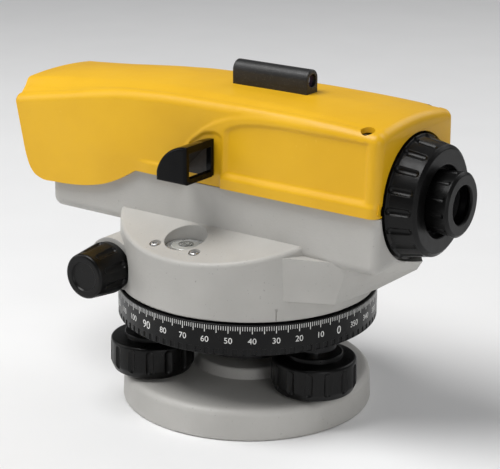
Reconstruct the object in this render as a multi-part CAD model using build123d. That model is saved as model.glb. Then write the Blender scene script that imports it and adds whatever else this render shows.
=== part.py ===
from build123d import *
import os
from math import cos, radians, sin

# Automatic level. Millimetres. +Z is up along the vertical axis, the line of sight runs along X
# with the objective towards -X and the eyepiece towards +X. The origin is the centre of the
# base's underside, where the tripod screw goes in.

# ---------------------------------------------------------------- driving dimensions
SIGHT_Z = 107.7  # height of the line of sight
RUN_GAP = 0.05  # radial clearance of a running fit

# levelling base
BASE_R = 56.6
BASE_TOP_Z = 14.0
BOSS_R = 23.5
BOSS_TOP_Z = 19.5
BASE_RECESS_Z = 1.8
TRIPOD_BORE_R = 6.8  # root radius of a 5/8 inch, 11 turns per inch thread
TRIPOD_BUSH_R = 11.0
TRIPOD_BUSH_H = 15.0
FOOT_CIRCLE_R = 43.6
FOOT_ANGLES = {"a": 227.3, "b": -12.7, "c": 107.3}
FOOT_BALL_R = 4.2
FOOT_BALL_Z = BASE_RECESS_Z + 0.05 + FOOT_BALL_R
FOOT_NECK_R = 2.6
FOOT_STEM_R = 4.0
FOOT_STEM_TOP_Z = 45.0
KNOB_R = 18.8
KNOB_Z0, KNOB_Z1 = 15.5, 31.0
KNOB_STEP_R, KNOB_STEP_Z = 12.5, 33.0
BUSH_BORE_R = FOOT_STEM_R + 0.3
BUSH_R = 6.5
BUSH_Z0, BUSH_Z1 = 35.5, 46.9

# tribrach and vertical axis
TRIBRACH_R = 53.2
TRIBRACH_Z0, TRIBRACH_Z1 = 23.0, 48.0
HUB_R = 20.0
SLEEVE_R, SLEEVE_Z0, SLEEVE_Z1 = 13.0, 25.0, 72.0
SPINDLE_R = 9.0
SPINDLE_Z0 = 28.0

# horizontal circle
CIRCLE_R = 58.3
CIRCLE_Z0, CIRCLE_Z1 = 40.0, 53.8
CIRCLE_WALL = 3.1
CIRCLE_WEB_Z = 51.0
GRIP_NOTCHES = 90

# alidade housing
DRUM_R_LOW, DRUM_R_TOP = 57.4, 56.6
DRUM_Z0 = 54.6
SHELF_Y, SHELF_Z, SHELF_SLOPE = 30.0, 86.5, 0.31
STERN_Z, STERN_SLOPE = 90.0, 0.9
BODY_X0, BODY_X1 = -90.5, 84.0
BODY_HALF_Y = 29.75
BODY_Z0 = 79.5
SEAM_Z = 104.5
WALL = 3.2
CHAMBER_Z = 82.5  # floor of the optical chamber
DRIVE_R, DRIVE_TOP_Z = 51.5, 73.2  # chamber of the worm drive
GASKET = 0.6
INDEX_ANGLE = -42.9
COVER_PLATE_ANGLES, COVER_PLATE_SCREW_R = (10, 130, 250), 47.9

# slow-motion drive
WORM_X, WORM_Z = -41.0, 64.5
WORM_R = 5.0
WORM_SHAFT_R = 3.0
WHEEL_R = 35.7
DRIVE_BOSS_R = 12.8
DRIVE_BOSS_Y = 46.0
SLOW_KNOB_R, SLOW_KNOB_TIP_R = 11.6, 9.9
SLOW_KNOB_Y0, SLOW_KNOB_Y1 = 46.4, 65.0

# circular bubble
BUBBLE_X, BUBBLE_Y = -4.0, -40.5
BUBBLE_POCKET_R = 9.3
BUBBLE_FLOOR_Z = 75.5

# top cover
COVER_REAR_X = 84.1
COVER_WALL = 2.5
SHOULDER_Z = 138.2
HOOD_TIP_X, HOOD_TIP_Z = -107.8, 128.0
FRONT_WALL_X0, FRONT_WALL_X1 = -86.5, -84.0
SKIRT_FRONT_Y, SKIRT_REAR_Y = 32.4, 30.8
BEAD_Y, BEAD_TOP_Z = 32.3, 110.0
ROOF_GROOVE_Y, ROOF_EDGE_Y = 26.0, 28.6
ROOF_FRONT_X, ROOF_REAR_X = -108.8, 82.9
# roof sections: x, centre height, half width and height of the crease, heights of groove and edge
ROOF_SECTIONS = (
    (ROOF_FRONT_X, 137.3, 22.0, 136.0, 132.2, 129.4),
    (-95, 138.9, 18.5, 137.3, 133.6, 131.4),
    (-80, 140.5, 17.3, 138.6, 135.6, 134.0),
    (-65, 142.0, 17.0, 140.2, 138.0, 136.7),
    (-50, 143.4, 17.0, 141.9, 140.0, 138.8),
    (-30, 143.8, 17.5, 142.8, 141.3, 140.5),
    (0, 143.8, 19.8, 142.9, 141.6, 140.9),
    (30, 143.8, 22.0, 142.9, 141.7, 140.9),
    (55, 143.2, 22.8, 141.7, 141.2, 140.6),
    (70, 142.6, 23.3, 140.6, 140.2, 139.8),
    (ROOF_REAR_X, 141.6, 22.5, 139.2, 138.6, 137.9),
)
ROOF_BOTTOM_Z = 122.0
CREASE_R = 1.3
PANEL_DEPTH = 0.7
PANEL_FRAME_DEPTH = 0.4
COVER_SCREW_X, COVER_SCREW_Y, COVER_SCREW_R = 76.0, 26.6, 2.2
COVER_SCREW_Z = 135.8
PILLAR_R, PILLAR_TOP_Z = 3.4, 131.0
DIMPLE_X = -34.0

# bubble mirror and bar sight
MIRROR_X0, MIRROR_X1, MIRROR_Z0, MIRROR_Z1 = -12.0, 3.8, 109.7, 126.0
SIGHT_X0, SIGHT_X1 = -6.1, 32.3
SIGHT_SEAT_Z = 143.6

# compensator
TAPE_X = (31.0, 39.0)

# focusing ring and eyepiece
FOCUS_ROD_Y = 22.0
RING_POCKET_R = 27.3
FOCUS_RING_R, FOCUS_RING_TIP_R = 26.3, 22.7
FOCUS_X0, FOCUS_X1 = 80.4, 96.8
BARREL_R, BARREL_BORE_R = 14.0, 10.2
DIOPTRE_R, DIOPTRE_X1 = 13.7, 105.8
EYE_OPENING_R = 8.1

PARTS = {}


# ---------------------------------------------------------------- shape helpers
def block(x0, x1, y0, y1, z0, z1):
    """A box given by its lowest and highest corners."""
    centre = Pos((x0 + x1) / 2, (y0 + y1) / 2, (z0 + z1) / 2)
    return centre * Box(x1 - x0, y1 - y0, z1 - z0)


def post(r, z0, z1, x=0, y=0):
    """A cylinder along Z."""
    return Pos(x, y, (z0 + z1) / 2) * Cylinder(r, z1 - z0)


def bar(r, x0, x1, y=0, z=SIGHT_Z):
    """A cylinder along X."""
    return Pos((x0 + x1) / 2, y, z) * Rot(0, 90, 0) * Cylinder(r, x1 - x0)


def crossbar(r, y0, y1, x, z):
    """A cylinder along Y."""
    return Pos(x, (y0 + y1) / 2, z) * Rot(90, 0, 0) * Cylinder(r, y1 - y0)


def turned(points, radii=()):
    """A solid of revolution about Z from (radius, height) points, with some corners rounded."""
    outline = make_face(Polyline(*[(r, 0, z) for r, z in points], close=True))
    for index, size in radii:
        r, z = points[index]
        corner = outline.vertices().sort_by(lambda v: (v.X - r) ** 2 + (v.Z - z) ** 2)[0]
        outline = fillet(corner, size)
    return revolve(outline, Axis.Z, 360)


def along_x(shape, x=0, z=SIGHT_Z):
    """Turn a shape made about Z so that its axis lies along X at the line of sight."""
    return Pos(x, 0, z) * Rot(0, 90, 0) * shape


def tube_x(r_out, r_in, x0, x1):
    """A plain tube about the line of sight."""
    return bar(r_out, x0, x1) - bar(r_in, x0, x1)


def ring_z(r_out, r_in, z0, z1, x=0, y=0):
    """A plain ring about a vertical axis."""
    return post(r_out, z0, z1, x, y) - post(r_in, z0, z1, x, y)


def profile_xz(points, y0, y1):
    """Extrude a closed outline in the XZ plane from y0 to y1."""
    outline = make_face(Polyline(*[(x, y0, z) for x, z in points], close=True))
    return extrude(outline, amount=y1 - y0, dir=(0, 1, 0))


def profile_yz(points, x0, x1):
    """Extrude a closed outline in the YZ plane from x0 to x1."""
    outline = make_face(Polyline(*[(x0, y, z) for y, z in points], close=True))
    return extrude(outline, amount=x1 - x0, dir=(1, 0, 0))


def mirror_y(shape):
    return mirror(shape, about=Plane.XZ)


def at_angle(radius, degrees):
    """X and Y of a point on a circle about the vertical axis."""
    return radius * cos(radians(degrees)), radius * sin(radians(degrees))


def around_z(make, count, start=0):
    """Copies of a shape, evenly spaced about Z."""
    return [Rot(0, 0, start + 360 * i / count) * make for i in range(count)]


def grip_recess(r, z0, z1):
    """A long oval recess cutter, parallel to Z, with round ends."""
    return post(r, z0 + r, z1 - r) + Pos(0, 0, z0 + r) * Sphere(r) + Pos(0, 0, z1 - r) * Sphere(r)


def screw(head_r, head_h, shank_r, length):
    """A cheese-head screw, head up, its head's underside at z 0, with a cross slot."""
    body = post(head_r, 0, head_h) + post(shank_r, -length, 0)
    body = chamfer(body.edges().sort_by(Axis.Z)[-1], head_h * 0.2)
    slot = Box(head_r * 1.3, head_r * 0.3, head_h * 0.9)
    cross = slot + Rot(0, 0, 90) * slot
    return body - Pos(0, 0, head_h) * cross


def keep(name, shape):
    """Record a finished sub-part under its node name."""
    PARTS[name] = shape


# ---------------------------------------------------------------- levelling base
def make_base():
    body = turned(
        [
            (0, 0),
            (BASE_R, 0),
            (BASE_R - 0.6, BASE_TOP_Z - 0.4),
            (BASE_R - 4, BASE_TOP_Z),
            (BOSS_R + 0.9, BASE_TOP_Z + 0.9),
            (BOSS_R - 0.9, BOSS_TOP_Z),
            (0, BOSS_TOP_Z),
        ],
        radii=((1, 0.8), (2, 3.0), (5, 1.2)),
    )
    body -= ring_z(BASE_R - 5, TRIPOD_BUSH_R + 2.5, 0, BASE_RECESS_Z)
    body -= post(TRIPOD_BUSH_R, 0, TRIPOD_BUSH_H)
    body -= post(TRIPOD_BORE_R + 1.5, TRIPOD_BUSH_H, BOSS_TOP_Z - 1.6)
    for angle in FOOT_ANGLES.values():
        x, y = at_angle(FOOT_CIRCLE_R, angle)
        body -= post(FOOT_BALL_R + 0.5, 0, FOOT_BALL_Z + FOOT_BALL_R + 0.4, x, y)
        body -= post(FOOT_NECK_R + 0.8, 0, BASE_TOP_Z + 2, x, y)
        x, y = at_angle(30, angle + 60)
        body -= post(1.5, BASE_RECESS_Z, 8, x, y)
    keep("base_plate", body)

    keep("tripod_thread_bush", ring_z(TRIPOD_BUSH_R, TRIPOD_BORE_R, 0, TRIPOD_BUSH_H))


def make_spring_plate():
    z0, z1 = BASE_RECESS_Z - 1.2, BASE_RECESS_Z
    plate = post(34.5, z0, z1)
    for angle in FOOT_ANGLES.values():
        arm = block(0, FOOT_CIRCLE_R, -6.5, 6.5, z0, z1) + post(7, z0, z1, FOOT_CIRCLE_R, 0)
        plate += Rot(0, 0, angle) * arm
    plate -= post(TRIPOD_BUSH_R + 3, z0, z1)
    screws = []
    for angle in FOOT_ANGLES.values():
        x, y = at_angle(30, angle + 60)
        plate -= post(1.5, z0, z1, x, y)
        screws.append(Pos(x, y, z0) * Rot(180, 0, 0) * screw(2.6, 0.5, 1.5, 6.5))
    keep("foot_spring_plate", plate)
    keep("spring_plate_screws", Compound(children=screws))


def make_foot_screws():
    knob = turned(
        [
            (FOOT_STEM_R, KNOB_Z0),
            (KNOB_R - 1.6, KNOB_Z0),
            (KNOB_R, KNOB_Z0 + 3.6),
            (KNOB_R - 0.2, KNOB_Z1 - 0.6),
            (KNOB_STEP_R, KNOB_Z1),
            (KNOB_STEP_R - 0.2, KNOB_STEP_Z),
            (FOOT_STEM_R, KNOB_STEP_Z),
        ],
        radii=((1, 1.4), (2, 2.2), (3, 1.5), (5, 0.6)),
    )
    recess = Pos(KNOB_R + 1.15, 0, 0) * grip_recess(2.2, KNOB_Z0 + 1.6, KNOB_Z1 - 1.4)
    knob -= around_z(recess, 14)
    for name, angle in FOOT_ANGLES.items():
        x, y = at_angle(FOOT_CIRCLE_R, angle)
        stem = Pos(0, 0, FOOT_BALL_Z) * Sphere(FOOT_BALL_R)
        stem += post(FOOT_NECK_R, FOOT_BALL_Z, KNOB_Z0 + 0.01)
        stem += post(FOOT_STEM_R, KNOB_Z0, FOOT_STEM_TOP_Z)
        keep(f"foot_screw_{name}", Pos(x, y, 0) * stem)
        keep(f"foot_screw_knob_{name}", Pos(x, y, 0) * Rot(0, 0, angle) * knob)


# ---------------------------------------------------------------- tribrach and vertical axis
def make_tribrach():
    body = post(HUB_R, TRIBRACH_Z0, TRIBRACH_Z1) + post(TRIBRACH_R, TRIBRACH_Z1 - 3, TRIBRACH_Z1)
    for angle in FOOT_ANGLES.values():
        rib = block(0, FOOT_CIRCLE_R, -6, 6, BUSH_Z0, TRIBRACH_Z1)
        boss = post(9.5, BUSH_Z0 - 0.5, TRIBRACH_Z1, FOOT_CIRCLE_R, 0)
        body += Rot(0, 0, angle) * (rib + boss)
    for angle in FOOT_ANGLES.values():
        x, y = at_angle(FOOT_CIRCLE_R, angle)
        body -= post(BUSH_R, TRIBRACH_Z0, BUSH_Z1, x, y)
    body -= post(SLEEVE_R, TRIBRACH_Z0, TRIBRACH_Z1)
    keep("tribrach", body)

    bushes = []
    for name in ("a", "b"):
        x, y = at_angle(FOOT_CIRCLE_R, FOOT_ANGLES[name])
        bushes.append(ring_z(BUSH_R, BUSH_BORE_R, BUSH_Z0, BUSH_Z1, x, y))
    keep("foot_screw_bushes", Compound(children=bushes))
    x, y = at_angle(FOOT_CIRCLE_R, FOOT_ANGLES["c"])
    keep("foot_screw_bush_c", ring_z(BUSH_R - 0.3, BUSH_BORE_R, BUSH_Z0, BUSH_Z1 - 0.6, x, y))

    sleeve = ring_z(SLEEVE_R, SPINDLE_R + RUN_GAP, SLEEVE_Z0, SLEEVE_Z1)
    keep("bearing_sleeve", sleeve)
    keep("clutch_nut", ring_z(17.5, SLEEVE_R, 69.6, SLEEVE_Z1))


def make_circle():
    wall_r = CIRCLE_R - CIRCLE_WALL
    body = turned(
        [
            (SLEEVE_R + RUN_GAP, CIRCLE_WEB_Z),
            (wall_r, CIRCLE_WEB_Z),
            (wall_r, CIRCLE_Z0),
            (CIRCLE_R, CIRCLE_Z0),
            (CIRCLE_R, CIRCLE_Z1),
            (SLEEVE_R + RUN_GAP, CIRCLE_Z1),
        ],
        radii=((3, 0.5), (4, 0.35)),
    )
    notch = block(CIRCLE_R - 0.35, CIRCLE_R + 1, -1.05, 1.05, CIRCLE_Z0 + 0.35, CIRCLE_Z0 + 3.0)
    body -= around_z(notch, GRIP_NOTCHES)
    keep("horizontal_circle", body)


def make_clutch_wheel():
    wheel = post(WHEEL_R, 61.5, 67.5) + post(18, 58.5, 68.5)
    groove = turned([(WHEEL_R - 0.4, 63.3), (WHEEL_R + 1, 62.3), (WHEEL_R + 1, 66.7), (WHEEL_R - 0.4, 65.7)])
    wheel -= groove
    wheel -= post(SLEEVE_R + RUN_GAP, 58, 69)
    for hole in around_z(post(5, 61, 68, 26.5, 0), 6):
        wheel -= hole
    keep("worm_wheel", wheel)
    keep("clutch_washer", ring_z(16.8, SLEEVE_R + RUN_GAP, 68.5, 69.4))


# ---------------------------------------------------------------- slow-motion drive
def make_slow_motion():
    shaft = crossbar(WORM_SHAFT_R, -SLOW_KNOB_Y1 + 3, SLOW_KNOB_Y1 - 3, WORM_X, WORM_Z)
    shaft += crossbar(WORM_R, -9, 9, WORM_X, WORM_Z)
    keep("worm_shaft", shaft)

    length = SLOW_KNOB_Y1 - SLOW_KNOB_Y0
    knob = turned(
        [
            (0, 0),
            (SLOW_KNOB_R - 0.5, 0),
            (SLOW_KNOB_R, length * 0.2),
            (SLOW_KNOB_TIP_R, length),
            (SLOW_KNOB_TIP_R - 3.2, length),
            (SLOW_KNOB_TIP_R - 3.8, length - 0.8),
            (0, length - 0.8),
        ],
        radii=((1, 0.7), (2, 2.0), (3, 1.4), (4, 0.3)),
    )
    recess = Pos(SLOW_KNOB_R + 1.0, 0, 0) * Rot(0, -4, 0) * grip_recess(2.0, 3.2, length - 2.6)
    knob -= around_z(recess, 9, 20)
    knob -= post(WORM_SHAFT_R, -1, length - 3)
    near = Pos(WORM_X, -SLOW_KNOB_Y0, WORM_Z) * Rot(90, 0, 0) * knob
    keep("slow_motion_knob_left", near)
    keep("slow_motion_knob_right", mirror_y(near))

    bushes = [crossbar(5, 34, DRIVE_BOSS_Y - 0.5, WORM_X, WORM_Z)]
    bushes[0] -= crossbar(WORM_SHAFT_R + RUN_GAP, 34, DRIVE_BOSS_Y, WORM_X, WORM_Z)
    bushes.append(mirror_y(bushes[0]))
    keep("worm_bushes", Compound(children=bushes))


# ---------------------------------------------------------------- alidade housing
def below_slope(top_z, start_y, slope):
    """The space under a roof that falls away on both sides of the body."""
    low = top_z - slope * (70 - start_y)
    outline = [(-70, 30), (-70, low), (-start_y, top_z), (start_y, top_z), (70, low), (70, 30)]
    return profile_yz(outline, -70, 100)


def stern():
    """The keel-shaped gusset under the body's rear: three flat-sided sections joined in turn."""
    sections = []
    for z, corner_x, keel_x in ((63.5, 63.2, 67.4), (76.2, 67.2, 86.1), (82.5, 69.2, 89.9)):
        side = [(30, 40), (44.5, 36.6), (corner_x, 27), (keel_x, 0)]
        outline = [(x, -y) for x, y in side] + [(x, y) for x, y in reversed(side[:-1])]
        sections.append(make_face(Polyline(*[(x, y, z) for x, y in outline], close=True)))
    lower = loft([sections[0], sections[1]], ruled=True)
    upper = loft([sections[1], sections[2]], ruled=True)
    return (lower + upper) & below_slope(STERN_Z, BODY_HALF_Y, STERN_SLOPE)


def drive_boss():
    """The round-topped boss that carries one end of the worm shaft."""
    boss = crossbar(DRIVE_BOSS_R, -DRIVE_BOSS_Y, -25, WORM_X, WORM_Z)
    boss += block(WORM_X - DRIVE_BOSS_R, WORM_X + DRIVE_BOSS_R, -DRIVE_BOSS_Y, -25, DRUM_Z0, WORM_Z)
    return boss & block(-60, -20, -DRIVE_BOSS_Y, -25, DRUM_Z0, 90)


def body_box():
    """The long rounded body that holds the telescope."""
    box = block(BODY_X0, BODY_X1, -BODY_HALF_Y, BODY_HALF_Y, BODY_Z0, SEAM_Z)
    box = fillet(box.edges().filter_by(Axis.Z).sort_by(Axis.X)[:2], 5)
    box = fillet(box.edges().filter_by(Axis.Z).sort_by(Axis.X)[-2:], 3.5)
    return fillet(box.faces().sort_by(Axis.Z)[0].edges(), 4.5)


def make_housing():
    drum = turned([(0, DRUM_Z0), (DRUM_R_LOW, DRUM_Z0), (DRUM_R_TOP, 90), (0, 90)], radii=((1, 0.5),))
    drum &= below_slope(SHELF_Z, SHELF_Y, SHELF_SLOPE)
    rim = [e for e in drum.edges().filter_by(GeomType.ELLIPSE) if e.center().Z > 75]
    lower = fillet(rim, 2.0) + stern()
    lower += drive_boss() + mirror_y(drive_boss())

    collar = bar(28, 70, BODY_X1) & block(60, 90, -40, 40, 70, SEAM_Z)
    housing = lower + body_box() + collar

    housing -= block(BODY_X0 + 4, 76, -BODY_HALF_Y + WALL, BODY_HALF_Y - WALL, CHAMBER_Z, SEAM_Z + 1)
    housing += bar(24.5, BODY_X0, -80) - block(-95, -70, -40, 40, 60, CHAMBER_Z - 1)
    housing -= bar(19.5, -95, -79)
    housing += bar(18.5, 60, 66) + block(60, 66, -12, 12, CHAMBER_Z, 100)
    housing -= bar(BARREL_R, 59, 67)
    housing -= bar(19.3, 70, 90)
    housing -= bar(RING_POCKET_R, 80, 95)

    housing -= post(DRIVE_R, DRUM_Z0 - 1, DRIVE_TOP_Z)
    housing -= post(SPINDLE_R, 70, 90)
    for side in (-1, 1):
        ends = sorted((side * 24, side * (DRIVE_BOSS_Y + 1)))
        housing -= crossbar(5, *ends, WORM_X, WORM_Z)
        ends = sorted((side * DRIVE_BOSS_Y, side * 62))
        housing -= crossbar(SLOW_KNOB_R + 0.7, *ends, WORM_X, WORM_Z)

    housing -= post(BUBBLE_POCKET_R, BUBBLE_FLOOR_Z, 100, BUBBLE_X, BUBBLE_Y)
    for x, y in bubble_screw_places():
        housing -= post(2.5, shelf_height(y) - 1.0, 100, x, y)
        housing -= post(1.2, shelf_height(y) - 4.5, 100, x, y)

    mark = block(DRUM_R_LOW - 0.45, DRUM_R_LOW + 1, -0.17, 0.17, DRUM_Z0, DRUM_Z0 + 5)
    mark += Pos(DRUM_R_LOW - 0.1, 0, DRUM_Z0 + 5.2) * Rot(0, 90, 0) * Cylinder(0.6, 0.8)
    housing -= Rot(0, 0, INDEX_ANGLE) * mark
    for angle in COVER_PLATE_ANGLES:
        x, y = at_angle(COVER_PLATE_SCREW_R, angle)
        housing += post(3.4, DRUM_Z0 + 2.6, DRIVE_TOP_Z, x, y)
        housing -= post(1.5, DRUM_Z0 + 2, DRIVE_TOP_Z, x, y)
    for x, y in spindle_screw_places():
        housing -= post(1.25, CHAMBER_Z - 6, CHAMBER_Z + 1, x, y)
    for x, y in cover_screw_places():
        housing += post(PILLAR_R, SEAM_Z - 8, PILLAR_TOP_Z, x, y) & block(60, 90, -28.2, 28.2, 90, 140)
        housing -= post(1.25, PILLAR_TOP_Z - 9, PILLAR_TOP_Z, x, y)
    keep("lower_housing", housing)


def shelf_height(y):
    return SHELF_Z - SHELF_SLOPE * (abs(y) - SHELF_Y)


def bubble_screw_places():
    return [(BUBBLE_X + side * 10.4, BUBBLE_Y - 7.9) for side in (-1, 1)]


def spindle_screw_places():
    return [at_angle(12.2, 45 + 90 * i) for i in range(4)]


def make_vertical_spindle():
    spindle = post(SPINDLE_R, SPINDLE_Z0, CHAMBER_Z) + post(15, CHAMBER_Z, CHAMBER_Z + 3)
    spindle = chamfer(spindle.edges().sort_by(Axis.Z)[0], 1)
    screws = []
    for x, y in spindle_screw_places():
        spindle -= post(1.25, CHAMBER_Z - 1, CHAMBER_Z + 4, x, y)
        screws.append(Pos(x, y, CHAMBER_Z + 3) * screw(2.3, 1.6, 1.25, 8))
    keep("vertical_spindle", spindle)
    keep("spindle_screws", Compound(children=screws))


def make_drive_cover():
    """The plate that closes the worm drive from below, held by three screws through its lugs."""
    z0, z1 = DRUM_Z0 + 0.6, DRUM_Z0 + 2.6
    plate = ring_z(DRIVE_R - 0.2, 15, z0, z1)
    screws = []
    for angle in COVER_PLATE_ANGLES:
        x, y = at_angle(COVER_PLATE_SCREW_R, angle)
        plate -= post(1.5, z0, z1, x, y)
        screws.append(Pos(x, y, z0) * Rot(180, 0, 0) * screw(2.4, 0.5, 1.5, 16.5))
    keep("drive_cover_plate", plate)
    keep("drive_cover_screws", Compound(children=screws))


# ---------------------------------------------------------------- circular bubble
def make_bubble():
    cup = turned(
        [(0, 0), (8.6, 0), (8.6, 4.4), (6.9, 4.4), (6.9, 1.2), (0, 1.2)],
        radii=((1, 0.4), (2, 0.5)),
    )
    place = Pos(BUBBLE_X, BUBBLE_Y, BUBBLE_FLOOR_Z)
    keep("bubble_cup", place * cup)
    vial = turned([(0, 1.2), (6.9, 1.2), (6.9, 3.9), (6.2, 4.5), (0, 4.9)], radii=((3, 0.5),))
    keep("bubble_vial", place * vial)
    screws = []
    for x, y in bubble_screw_places():
        screws.append(Pos(x, y, shelf_height(y) - 1.0) * screw(2.1, 1.1, 1.2, 3.4))
    keep("bubble_adjusting_screws", Compound(children=screws))


def make_bubble_mirror(cover_outer):
    """The hooded mirror beside the body, through which the bubble is seen from behind."""
    x0, x1 = MIRROR_X0, MIRROR_X1
    y0, y1 = -51.0, -29.0
    z0, z1 = MIRROR_Z0, MIRROR_Z1
    height = z1 - z0
    hood = block(x0, x1, y0, y1, z0, z1)
    quarter = crossbar(height, y0, y1, x1, z0) & block(x1 - height, x1, y0, y1, z0, z1)
    hood = hood & quarter
    near_edges = [e for e in hood.edges() if abs(e.center().Y - y0) < 0.01]
    hood = fillet(near_edges, 1.3)
    inner = crossbar(height - 1.6, y0 + 1.6, y1 + 5, x1, z0)
    inner = inner & block(x0, x1 - 2.4, y0 + 1.6, y1 + 5, z0 - 1, z1)
    hood -= inner
    hood -= block(x1 - 3, x1 + 1, y0 + 2.6, y1 - 4.2, z0 + 2.4, z1 - 3.0)
    hood -= cover_outer
    keep("bubble_mirror_hood", hood)

    length = 17.0
    mirror_plate = Pos((x0 + x1) / 2 - 0.2, (y0 + y1) / 2 - 1.4, (z0 + z1) / 2 - 0.1)
    mirror_plate = mirror_plate * Rot(0, -45, 0) * Box(length, 16.0, 1.2)
    keep("bubble_mirror", (mirror_plate & inner) - cover_outer)


# ---------------------------------------------------------------- top cover
def cover_side_outline(inset=0.0):
    """The skirt seen from the side; inset makes the inner outline of its shell."""
    rear = COVER_REAR_X - inset
    seam = SEAM_Z + GASKET
    top = [(rear, SHOULDER_Z - inset), (70, 140.3 - inset), (30, 141.2 - inset), (-10, 141.2 - inset)]
    top += [(-50, 139.2 - inset), (-80, 134.4 - inset), (HOOD_TIP_X + 1.6, HOOD_TIP_Z + 1.2 - inset)]
    with BuildLine() as outline:
        Line((rear, seam), (rear, SHOULDER_Z - inset))
        Spline(*top)
        Line(top[-1], (HOOD_TIP_X, HOOD_TIP_Z - 1.2 - inset))
        Line((HOOD_TIP_X, HOOD_TIP_Z - 1.2 - inset), (-104.8, 112))
        Spline((-104.8, 112), (-101.2, 98), (-94.6, 92.3), (-85, 92.0), (-65.3, 93.8), (-47.7, 99.7), (-38, seam))
        Line((-38, seam), (rear, seam))
    return outline.line


def roof(inset=0.0):
    """The crowned roof with a crease and a groove along each side, lofted along X."""
    sections = []
    for x, centre_z, crease_y, crease_z, groove_z, edge_z in ROOF_SECTIONS:
        flank = (crease_z - groove_z) / (ROOF_GROOVE_Y - crease_y)
        crown = 2 * (centre_z - crease_z) / crease_y
        side = [
            (ROOF_EDGE_Y - inset, edge_z),
            (ROOF_GROOVE_Y - inset, groove_z),
            (crease_y + CREASE_R, crease_z - flank * CREASE_R),
            (crease_y - CREASE_R, crease_z + crown * CREASE_R * 0.7),
            (crease_y * 0.5, centre_z - (centre_z - crease_z) * 0.25),
        ]
        left = [(x, -y, z - inset) for y, z in side]
        right = [(x, y, z - inset) for y, z in reversed(side)]
        top = Spline(*left, (x, 0, centre_z - inset), *right)
        low_right, low_left = (x, right[-1][1], ROOF_BOTTOM_Z), (x, left[0][1], ROOF_BOTTOM_Z)
        sections.append(make_face([top, Polyline(right[-1], low_right, low_left, left[0])]))
    return loft(sections)


def side_extrusion(outline, half_y):
    face = make_face(Plane.XZ * outline)
    return extrude(face, amount=half_y, both=True)


def skirt_plan(front, rear, z0, z1):
    """The skirt seen from above: nearly parallel behind, flared a little around the objective."""
    near = [(COVER_REAR_X + 2, -rear), (0, -rear), (-60, -front), (-115, -front)]
    with BuildLine() as outline:
        Spline(*near, tangents=((-1, 0), (-1, 0)))
        Line((-115, -front), (-115, front))
        Spline(*[(x, -y) for x, y in reversed(near)], tangents=((1, 0), (1, 0)))
        Line((COVER_REAR_X + 2, rear), (COVER_REAR_X + 2, -rear))
    return extrude(Pos(0, 0, z0) * make_face(outline.line), amount=z1 - z0)


def side_patch(outline, y0, y1):
    """An outline in the XZ plane made solid between two distances, on both sides of the body."""
    near = extrude(Pos(0, -y0, 0) * make_face(Plane.XZ * outline), amount=y1 - y0, dir=(0, -1, 0))
    return near + mirror_y(near)


def frame_outline():
    """The raised field on each side that frames the label panel and the bubble mirror."""
    with BuildLine() as outline:
        Spline((-15.0, 108.0), (-9.7, 124.3), (3.6, 133.4), (21, 137.6), (33, 138.4))
        Line((33, 138.4), (79, 137.4))
        Line((79, 137.4), (79, 108.0))
        Line((79, 108.0), (-15.0, 108.0))
    return outline.line


def panel_outline():
    """The label panel sunk into the raised field."""
    with BuildLine() as outline:
        Line((9.2, 111.6), (9.2, 129.6))
        Spline((9.2, 129.6), (12.4, 132.4), (21, 134.2), (38, 135.4))
        Line((38, 135.4), (74, 135.3))
        Line((74, 135.3), (76.5, 132.8))
        Line((76.5, 132.8), (76.5, 111.6))
        Line((76.5, 111.6), (9.2, 111.6))
    return outline.line


def make_cover_outer():
    skirt = side_extrusion(cover_side_outline(), 40) & skirt_plan(SKIRT_FRONT_Y, SKIRT_REAR_Y, 85, 145)
    rear = [e for e in skirt.edges() if e.center().X > COVER_REAR_X - 0.3 and e.center().Z > 110]
    shoulder = [e for e in skirt.edges() if e.center().Z > 132 and abs(e.center().Y) > 25 and e.length > 60]
    skirt = fillet(rear + shoulder, 4)
    cap = roof()
    cap -= block(ROOF_FRONT_X - 1, HOOD_TIP_X, -40, 40, ROOF_BOTTOM_Z - 1, 132)
    bead = side_extrusion(cover_side_outline(), 40) & skirt_plan(BEAD_Y, BEAD_Y, SEAM_Z, BEAD_TOP_Z)
    bead = bead & block(-36, COVER_REAR_X + 5, -40, 40, 100, 120)
    frame = side_patch(frame_outline(), SKIRT_REAR_Y - 4, SKIRT_REAR_Y + PANEL_FRAME_DEPTH)
    return skirt + cap + bead + frame


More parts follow.
